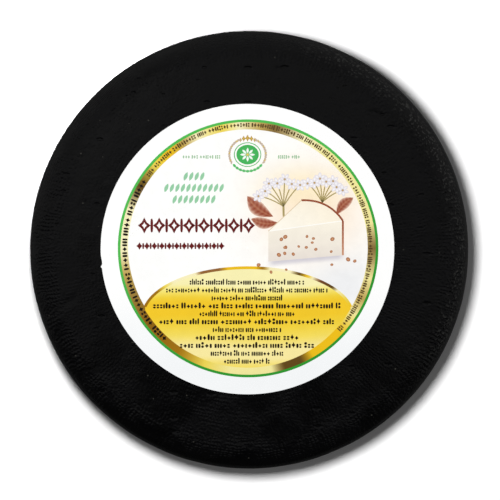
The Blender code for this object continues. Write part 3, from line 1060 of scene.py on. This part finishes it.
# A small medallion stands at the top of the print: a green oval with a white flower, a thin line and a
# wreath of dots round it, a gold cap above and a row of leaves below.
MEDALLION = (0.0, 0.03373)
MEDALLION_SIZE = (0.00812, 0.00712)
MEDALLION_LINE_HALF_SIZE = (0.00480, 0.00430)
MEDALLION_LINE_WIDTH = 0.00030
MEDALLION_LINE_STEPS = 48
BADGE_GREEN = (67, 177, 88)
BADGE_LIGHT = (84, 186, 104)
PETALS = 8
PETAL_REACH = (0.00165, 0.001485)
PETAL_SHADE = (236, 246, 236)
HEART_YELLOW = (228, 206, 110)
HEART_EDGE = (214, 190, 90)
# The wreath is a row of small leaves up each side, from one turn to another in degrees
WREATH_SIDES = ((-28, 62), (118, 208))
WREATH_LEAVES = 12
WREATH_REACH = (0.0066, 0.0060)
WREATH_LEAN = 1.0
WREATH_TAN = (198, 180, 162)
CAP_GOLD = (216, 186, 84)
CAP_EDGE = (178, 136, 58)
# The cap's lozenges, as (x, y, width, height)
CAP_PARTS = (
    (-0.0026, 0.0053, 0.0013, 0.0017),
    (-0.0014, 0.0058, 0.0016, 0.0022),
    (0.0000, 0.0060, 0.0018, 0.0026),
    (0.0014, 0.0058, 0.0016, 0.0022),
    (0.0026, 0.0053, 0.0013, 0.0017),
)
FOOT_LEAVES = (222, 318, 9)
FOOT_REACH = (0.0064, 0.0060)
FOOT_EDGE = (120, 200, 132)

line_turn = np.linspace(0.0, 2.0 * math.pi, MEDALLION_LINE_STEPS, endpoint=False)[None, :]
across = MEDALLION_LINE_WIDTH * np.linspace(-0.5, 0.5, 3)[:, None]
line = around(MEDALLION, [half_size + across for half_size in MEDALLION_LINE_HALF_SIZE], line_turn)
print_field("label_medallion_line", [(*line, BADGE_GREEN)], MARK_LIFT, True)

petal_turn = np.arange(PETALS) * 2.0 * math.pi / PETALS
petals = np.stack(around(MEDALLION, PETAL_REACH, petal_turn), axis=-1)
wreath_turn = np.radians(np.concatenate([np.linspace(*ends, WREATH_LEAVES) for ends in WREATH_SIDES]))
wreath = np.stack(around(MEDALLION, WREATH_REACH, wreath_turn), axis=-1)
wreath_lean = wreath_turn + WREATH_LEAN
cap = np.array(CAP_PARTS)
foot_turn = np.radians(np.linspace(*FOOT_LEAVES))
foot = np.stack(around(MEDALLION, FOOT_REACH, foot_turn), axis=-1)
foot_lean = foot_turn + math.pi / 2
for part, outline, at, angle, size, lift, *inks in (
    ("", oval(40), MEDALLION, 0.0, MEDALLION_SIZE, MARK_LIFT, BADGE_LIGHT, BADGE_GREEN),
    ("_petals", leaf_shape(), petals, petal_turn, (0.0021, 0.00085), TOP_MARK_LIFT, WHITE, PETAL_SHADE),
    ("_heart", oval(), MEDALLION, 0.0, (0.0010, 0.0009), TOP_MARK_LIFT, HEART_YELLOW, HEART_EDGE),
    ("_wreath", leaf_shape(), wreath, wreath_lean, (0.0015, 0.0007), MARK_LIFT, WREATH_TAN),
    ("_dots", oval(8), wreath[1::3], 0.0, (0.0006, 0.0006), TOP_MARK_LIFT, CAP_GOLD),
    ("_cap", lozenge(), cap[:, :2] + MEDALLION, 0.0, cap[:, 2:], MARK_LIFT, CAP_GOLD, CAP_EDGE),
    ("_leaves", leaf_shape(), foot, foot_lean, (0.0018, 0.0010), MARK_LIFT, BADGE_GREEN, FOOT_EDGE),
):
    stamp("label_medallion" + part, outline, at, angle, size, lift, *inks)


# The picture at the right is a generic one: a wedge of pale cheese with a brown rind, dry leaves at its
# sides, and two heads of white coriander flowers behind it.
WEDGE_TIP = np.array((0.0075, 0.0060))
WEDGE_BACK = np.array((0.0195, 0.0172))
WEDGE_RIGHT = np.array((0.0345, 0.0098))
WEDGE_BULGE = np.array((0.0292, 0.0176))
WEDGE_HEIGHT = 0.0125
# The wedge's front is this share of its height at the tip, and grows by this share to the right
FRONT_HEIGHT = (0.88, 0.12)
RIND_WIDTH = 0.0007
RIND_BROWN = (150, 78, 52)
RIND_LIGHT = (206, 150, 116)
CHEESE_WHITE = (254, 250, 240)
CHEESE_CREAM = (250, 238, 214)
CHEESE_IVORY = (249, 242, 226)
CHEESE_SHADE = (231, 222, 214)
FRONT_EDGE = (0.00035, (255, 253, 248))
BACK_EDGE = (0.00030, (226, 206, 176))
CAST_SHADOW = (206, 202, 212)
SHADOW_ENDS = (-0.04, 1.06)
SHADOW_HALF_DEPTH = 0.0024
SHADOW_STRENGTH = 0.9
SHADOW_FADE = 0.25
SEEDS_IN_FRONT = 15
SEED_DRAW = 11
SEEDS_ALONG = (0.12, 0.90)
SEEDS_DOWN = (0.14, 0.86)
SEED_LENGTH = (0.0010, 0.0017)
SEED_SHAPE = (1.0, 0.85)
SEED_BROWN = (158, 88, 54)
SEED_LIGHT = (214, 164, 122)
SEED_SCATTER = (
    (0.0040, -0.0062), (0.0085, -0.0088), (0.0140, -0.0079), (0.0305, -0.0061), (0.0364, -0.0042),
    (0.0388, -0.0048),
)
# Each head of flowers, as its node, reach, first and last ray, and count of rays
FLOWER_HEADS = (
    ((0.0130, 0.0150), 0.0098, 52, 158, 7),
    ((0.0270, 0.0165), 0.0086, 30, 128, 7),
)
STEM = (172, 156, 104)
STEM_FOOT = np.array((0.0015, -0.0120))
STEM_BEND = np.array((-0.0016, 0.0060))
STEM_WIDTH = 0.00075
RAY_RISE = np.array((0.0, 0.0012))
RAY_SHORTER = 0.12
RAY_WIDTH = 0.00042
FLOWER_PETALS = 6
FLOWER_REACH = (0.00125, 0.00125)
PETAL_SIZE = (0.00205, 0.00125)
PETAL_WHITE = (255, 255, 255)
PETAL_EDGE = (222, 216, 226)
HEART_SIZE = (0.00085, 0.00085)
# Each dry leaf, as its place, turn, length and width
DRY_LEAVES = (
    (0.0046, 0.0150, 142, 0.0120, 0.0052),
    (0.0062, 0.0098, 172, 0.0100, 0.0040),
    (0.0352, 0.0150, 46, 0.0088, 0.0038),
)
DRY_LEAF = (142, 62, 40)
DRY_LEAF_EDGE = (226, 196, 178)
LEAF_BOW = 0.10
LEAF_FULLER = 0.25
LEAF_PALER = 0.125
VEINS = (0.12, 22.0, 4.0)
RIB_WIDTH = 0.12
LAYER_STEP = 0.000005


def mixed(first, second, share):
    """Two colours mixed by a share for each place."""
    share = np.clip(share, 0.0, 1.0)[..., None]
    return np.array(first, float) * (1.0 - share) + np.array(second, float) * share


def straight(start, stop, share):
    """Points at shares of the straight way from start to stop."""
    return start + np.reshape(share, (-1, 1)) * (stop - start)


def curve(start, bend, stop, count):
    """Points along a bow from start to stop, pulled towards bend (a quadratic Bezier)."""
    share = np.linspace(0.0, 1.0, count)
    return straight(straight(start, bend, share), straight(bend, stop, share), share)


def ribbon(line, width):
    """The two grids of a strip of this width along a line of points."""
    way = np.gradient(line, axis=0)
    way /= np.linalg.norm(way, axis=1, keepdims=True)
    across = 0.5 * width * np.stack((-way[:, 1], way[:, 0]), axis=-1)
    edges = np.stack((line - across, line, line + across))
    return edges[..., 0], edges[..., 1]


stems, flowers = [], []
for node, reach, first_ray, last_ray, rays in FLOWER_HEADS:
    node = np.array(node)
    foot = node + STEM_FOOT
    stems.append((*ribbon(curve(foot, foot + STEM_BEND, node, 9), STEM_WIDTH), STEM))
    for index, ray in enumerate(np.radians(np.linspace(first_ray, last_ray, rays))):
        stop = node + reach * (1.0 - RAY_SHORTER * (index % 2)) * np.array((math.cos(ray), math.sin(ray)))
        bend = 0.5 * (node + stop) + RAY_RISE
        stems.append((*ribbon(curve(node, bend, stop, 7), RAY_WIDTH), STEM))
        flowers.append(stop)
print_field("label_picture_stems", stems, FIELD_LIFT + 2 * LAYER_STEP)

flowers = np.array(flowers)
petal_turn = np.arange(FLOWER_PETALS) * 2.0 * math.pi / FLOWER_PETALS
petal_turn = np.add.outer(np.arange(len(flowers)), petal_turn).ravel()
petals = np.stack(around(np.repeat(flowers, FLOWER_PETALS, axis=0).T, FLOWER_REACH, petal_turn), axis=-1)
stamp("label_picture_petals", oval(10), petals, petal_turn, PETAL_SIZE, MARK_LIFT, PETAL_WHITE, PETAL_EDGE)
stamp("label_picture_hearts", oval(8), flowers, 0.0, HEART_SIZE, TOP_MARK_LIFT, SEED_LIGHT, STEM)

across = np.linspace(-1.0, 1.0, 9)[:, None]
along = np.linspace(-0.999, 0.999, 33)[None, :]
veins = VEINS[0] * np.cos(along * VEINS[1] - np.abs(across) * VEINS[2])
leaf_ink = mixed(DRY_LEAF, DRY_LEAF_EDGE, np.abs(across) ** 3 + veins + LEAF_PALER * (along + 1.0))
leaf_ink = mixed(leaf_ink, RIND_LIGHT, 0.5 * np.exp(-((across / RIB_WIDTH) ** 2)) + 0.0 * along)
for index, (x, y, leaf_turn, length, width) in enumerate(DRY_LEAVES):
    half = 0.5 * width * (1.0 - along ** 2) * (1.0 + LEAF_FULLER * along)
    flat_x = 0.5 * length * along + 0.0 * across
    flat_y = half * across + LEAF_BOW * length * (1.0 - along ** 2)
    leaf_x, leaf_y = turned(flat_x, flat_y, math.radians(leaf_turn))
    leaf = (x + leaf_x, y + leaf_y, leaf_ink)
    print_field("label_picture_leaf_%d" % (index + 1), [leaf], MARK_LIFT + LAYER_STEP * index)

steps = np.linspace(0.0, 1.0, 41)
drop = WEDGE_HEIGHT * (FRONT_HEIGHT[0] + FRONT_HEIGHT[1] * steps)
foot = straight(WEDGE_TIP, WEDGE_RIGHT, np.linspace(*SHADOW_ENDS, 41))
share = np.linspace(-1.0, 1.0, 17)[:, None]
shadow = (foot[:, 0] + 0.0 * share, foot[:, 1] - drop + SHADOW_HALF_DEPTH * share)
fade = (1.0 - share ** 2) ** 2 * smooth_step(1.0 - np.abs(2.0 * steps - 1.0), 0.0, SHADOW_FADE)
shadow_ink = mixed(ground_ink(*shadow), CAST_SHADOW, SHADOW_STRENGTH * fade)
print_field("label_picture_shadow", [(*shadow, shadow_ink)], FIELD_LIFT)

arc = curve(WEDGE_BACK, WEDGE_BULGE, WEDGE_RIGHT, 41)
share = np.linspace(0.001, 1.0, 25)[:, None]
top_x, top_y = [WEDGE_TIP[axis] + share * (arc[:, axis] - WEDGE_TIP[axis]) for axis in range(2)]
top_ink = mixed(CHEESE_WHITE, CHEESE_CREAM, 0.75 * share + 0.0 * top_x)
front = straight(WEDGE_TIP, WEDGE_RIGHT, steps)
share = np.linspace(0.0, 1.0, 25)[:, None]
front_x, front_y = front[:, 0] + 0.0 * share, front[:, 1] - drop * share
front_ink = mixed(CHEESE_IVORY, CHEESE_SHADE, share ** 1.5 * 0.8 + 0.25 * (1.0 - steps))
print_field("label_picture_wedge", [(top_x, top_y, top_ink), (front_x, front_y, front_ink)], TOP_MARK_LIFT)

few = np.linspace(0.0, 1.0, 9)
rind_side = straight(WEDGE_RIGHT, WEDGE_RIGHT - (0.0, WEDGE_HEIGHT), few)
rind = [
    (*ribbon(arc, RIND_WIDTH), RIND_BROWN),
    (*ribbon(rind_side, RIND_WIDTH), mixed(RIND_BROWN, RIND_LIGHT, np.tile(few, (3, 1)))),
    (*ribbon(straight(WEDGE_TIP, WEDGE_RIGHT, few), FRONT_EDGE[0]), FRONT_EDGE[1]),
    (*ribbon(straight(WEDGE_TIP, WEDGE_BACK, few), BACK_EDGE[0]), BACK_EDGE[1]),
]
print_field("label_picture_rind", rind, TOP_MARK_LIFT + 2 * LAYER_STEP)

draw = np.random.default_rng(SEED_DRAW)
along, down = draw.uniform(*SEEDS_ALONG, SEEDS_IN_FRONT), draw.uniform(*SEEDS_DOWN, SEEDS_IN_FRONT)
at = straight(WEDGE_TIP, WEDGE_RIGHT, along)
at[:, 1] -= down * WEDGE_HEIGHT
at = np.concatenate((at, SEED_SCATTER))
size = np.outer(draw.uniform(*SEED_LENGTH, len(at)), SEED_SHAPE)
seed_turn = draw.uniform(0, 3, len(at))
seed_lift = TOP_MARK_LIFT + 4 * LAYER_STEP
stamp("label_picture_seeds", oval(), at, seed_turn, size, seed_lift, SEED_LIGHT, SEED_BROWN)


# The studio: a pale floor, a pale surround, a high key light for the paper and the floor, a low lamp that
# lifts the floor beyond the upper left of the wheel, and soft panels that only show as gleams in the wax.
# The camera is straight above the wheel.
CAMERA_HEIGHT = 3.0
CAMERA_SEES = (0.05, 20.0)
WHEEL_PIXELS = 218.8
WHEEL_EDGE_HEIGHT = 0.031
IMAGE_PIXELS = 500
SENSOR_WIDTH = 36.0
WHEEL_IN_IMAGE = (249.3, 249.6)
FLOOR_HALF_WIDTH = 4
FLOOR_DROP = 0.0001
FLOOR_TONE = 1.0
FLOOR_TONE_IN_PIECES = 0.12
FLOOR_ROUGHNESS = 0.9
AMBIENT = 0.13
GLEAM_WAY = math.radians(85)
# How strongly the surround gleams in the wax, as (height of the way towards it, strength)
GLEAM_STOPS = (
    (-1.0, 0.01), (-0.6, 0.15), (-0.15, 0.29), (0.2, 0.32),
    (0.6, 0.32), (0.80, 0.17), (0.92, 0.0), (1.0, 0.0),
)
GLEAM_REACH = (-0.60, 0.05)
GLEAM_LOW_DOWN = (0.50, 0.15, 0.0, 0.10)
# Each light, as (azimuth anticlockwise from +X, elevation, distance, size, power)
KEY_LIGHT = (136, 87.55, 1.0, 0.09, 10.3)
FILL_AWAY = 0.148
FILL_HEIGHT = 0.050
FILL_ELEVATION = math.degrees(math.atan2(FILL_HEIGHT, FILL_AWAY))
FILL_LIGHT = (135, FILL_ELEVATION, math.hypot(FILL_AWAY, FILL_HEIGHT), 0.04, 0.19)
PANEL_LIGHTS = {
    "panel_top": (92, 71, 0.37, 0.22, 0.047),
    "panel_right": (-5, 64, 0.33, 0.20, 0.027),
    "panel_left": (166, 64, 0.33, 0.20, 0.040),
}

floor_mesh = bpy.data.meshes.new("floor")
corners = FLOOR_HALF_WIDTH * np.array([(-1, -1, 0), (1, -1, 0), (1, 1, 0), (-1, 1, 0)])
floor_mesh.from_pydata((corners - (0, 0, FLOOR_DROP)).tolist(), [], [(0, 1, 2, 3)])
floor = add_object("floor", floor_mesh)
floor_material, tree, shader = new_material("floor")
light_path = add_node(tree, "ShaderNodeLightPath", {})
tones = [(tone, tone, tone, 1.0) for tone in (FLOOR_TONE_IN_PIECES, FLOOR_TONE)]
set_inputs(tree, shader, {
    "Base Color": mix(tree, light_path.outputs["Is Camera Ray"], *tones),
    "Roughness": FLOOR_ROUGHNESS,
    "Specular IOR Level": 0.0,
})
floor_mesh.materials.append(floor_material)
floor.visible_glossy = False

world = bpy.data.worlds.new("surround")
world.use_nodes = True
bpy.context.scene.world = world
tree = world.node_tree
light_path = add_node(tree, "ShaderNodeLightPath", {})
way = add_node(tree, "ShaderNodeTexCoord", {}).outputs["Generated"]
up = add_node(tree, "ShaderNodeSeparateXYZ", {0: way}).outputs["Z"]
ramp = add_node(tree, "ShaderNodeValToRGB", {0: calc(tree, "MULTIPLY_ADD", up, 0.5, 0.5)})
for element, (height, strength) in zip(ramp.color_ramp.elements, (GLEAM_STOPS[0], GLEAM_STOPS[-1])):
    element.color = (strength, strength, strength, 1.0)
    element.position = 0.5 + 0.5 * height
for height, strength in GLEAM_STOPS[1:-1]:
    ramp.color_ramp.elements.new(0.5 + 0.5 * height).color = (strength, strength, strength, 1.0)
share = remap(tree, far_along(tree, way, GLEAM_WAY), *GLEAM_REACH)
share = calc(tree, "MAXIMUM", share, remap(tree, up, *GLEAM_LOW_DOWN))
gleam = calc(tree, "MULTIPLY", ramp.outputs["Color"], share)
seen = calc(tree, "MULTIPLY_ADD", light_path.outputs["Is Camera Ray"], 1.0 - AMBIENT, AMBIENT)
less = calc(tree, "MULTIPLY", light_path.outputs["Is Glossy Ray"], calc(tree, "SUBTRACT", gleam, AMBIENT))
background = {"Strength": calc(tree, "ADD", seen, less), "Color": (1.0, 1.0, 1.0, 1.0)}
set_inputs(tree, tree.nodes["Background"], background)


def add_light(name, shape, azimuth, elevation, distance, size, power):
    """A soft light at a distance in a direction, facing the wheel."""
    lamp = bpy.data.lights.new(name, "AREA")
    lamp.shape = shape
    lamp.size = size
    lamp.energy = power
    light = add_object(name, lamp)
    a, e = math.radians(azimuth), math.radians(elevation)
    way = np.array([math.cos(a) * math.cos(e), math.sin(a) * math.cos(e), math.sin(e)])
    light.location = way * distance
    light.rotation_euler = (0.0, math.pi / 2 - e, a)
    return light


key = add_light("key", "DISK", *KEY_LIGHT)
floor_fill = add_light("floor_fill", "DISK", *FILL_LIGHT)
for light in (key, floor_fill):
    light.visible_glossy = False
    light.visible_camera = False
# The low lamp lights nothing but the floor
lit_by_fill = bpy.data.collections.new("lit_by_fill")
lit_by_fill.objects.link(floor)
floor_fill.light_linking.receiver_collection = lit_by_fill
for name, values in PANEL_LIGHTS.items():
    add_light(name, "SQUARE", *values).visible_diffuse = False

pixels_per_metre = WHEEL_PIXELS / WHEEL_RADIUS
focal_pixels = pixels_per_metre * (CAMERA_HEIGHT - WHEEL_EDGE_HEIGHT)
lens = bpy.data.cameras.new("camera")
lens.sensor_width = SENSOR_WIDTH
lens.lens = SENSOR_WIDTH * focal_pixels / IMAGE_PIXELS
lens.clip_start, lens.clip_end = CAMERA_SEES
camera = add_object("camera", lens)
camera.location = (
    (IMAGE_PIXELS / 2 - WHEEL_IN_IMAGE[0]) / pixels_per_metre,
    (WHEEL_IN_IMAGE[1] - IMAGE_PIXELS / 2) / pixels_per_metre,
    CAMERA_HEIGHT,
)
bpy.context.scene.camera = camera
bpy.context.scene.view_settings.view_transform = "Standard"
